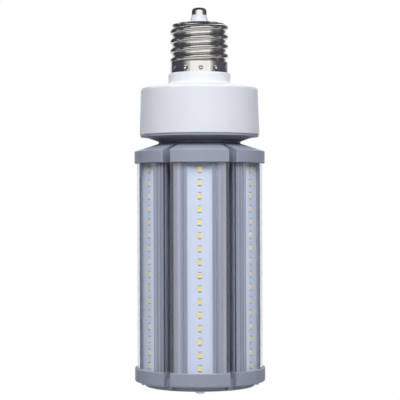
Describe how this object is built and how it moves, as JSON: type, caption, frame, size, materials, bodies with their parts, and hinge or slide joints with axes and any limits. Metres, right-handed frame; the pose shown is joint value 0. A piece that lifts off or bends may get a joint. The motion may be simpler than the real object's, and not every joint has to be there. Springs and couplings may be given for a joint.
{
  "type": "mogul base led bulb",
  "caption": "Long LED lamp with a mogul screw base, white driver housing and a lobed aluminium body whose LED strips sit behind clear covers between notched grey end caps.",
  "frame": {"origin": "on the lamp's axis, at the lower edge of the screw shell, where it meets the white neck", "axes": "+Z along the axis towards the centre contact, -Y out through the front LED strip"},
  "size_m": [0.0874, 0.0876, 0.2598],
  "materials": {
    "nickel_plate": "bright nickel plate on rolled brass",
    "insulator_white": "smooth white",
    "housing_white": "moulded white, fine satin",
    "cap_grey": "moulded grey, satin",
    "extruded_aluminium": "bare extrusion with fine lengthwise lines",
    "board_white": "white solder mask on an aluminium board",
    "led_yellow": "phosphor under clear silicone",
    "lens_clear": "clear extruded polycarbonate",
    "zinc_steel": "zinc plate",
    "circuit_board": "green solder mask",
    "component_black": "sleeved or moulded black",
    "component_yellow": "polyester tape and moulded box",
    "ferrite": "sintered dark grey",
    "copper_wire": "enamelled copper",
    "fuse_ceramic": "plain ceramic",
    "lead_insulation": "smooth silicone"
  },
  "bodies": {
    "root": {"centre_contact": "nickel_plate", "screw_shell": "nickel_plate", "contact_insulator": "insulator_white", "driver_housing": "housing_white", "housing_base": "cap_grey", "top_end_cap": "cap_grey", "bottom_end_cap": "cap_grey", "heat_sink": "extruded_aluminium", "led_board_1": "board_white", "led_board_2": "board_white", "led_board_3": "board_white", "led_board_4": "board_white", "led_board_5": "board_white", "led_board_6": "board_white", "led_row_1": "led_yellow", "led_row_2": "led_yellow", "led_row_3": "led_yellow", "led_row_4": "led_yellow", "led_row_5": "led_yellow", "led_row_6": "led_yellow", "lens_cover_1": "lens_clear", "lens_cover_2": "lens_clear", "lens_cover_3": "lens_clear", "lens_cover_4": "lens_clear", "lens_cover_5": "lens_clear", "lens_cover_6": "lens_clear", "tie_bolt": "zinc_steel", "tie_nut": "zinc_steel", "tie_washer": "zinc_steel", "base_screws": "zinc_steel", "board_screws": "zinc_steel", "driver_board": "circuit_board", "bulk_capacitors": "component_black", "output_capacitor": "component_black", "bridge_rectifier": "component_black", "film_capacitor": "component_yellow", "transformer_coil": "component_yellow", "transformer_core": "ferrite", "filter_choke": "copper_wire", "input_fuse": "fuse_ceramic", "live_lead": "lead_insulation", "neutral_lead": "lead_insulation", "board_leads": "lead_insulation"}
  },
  "joints": []
}
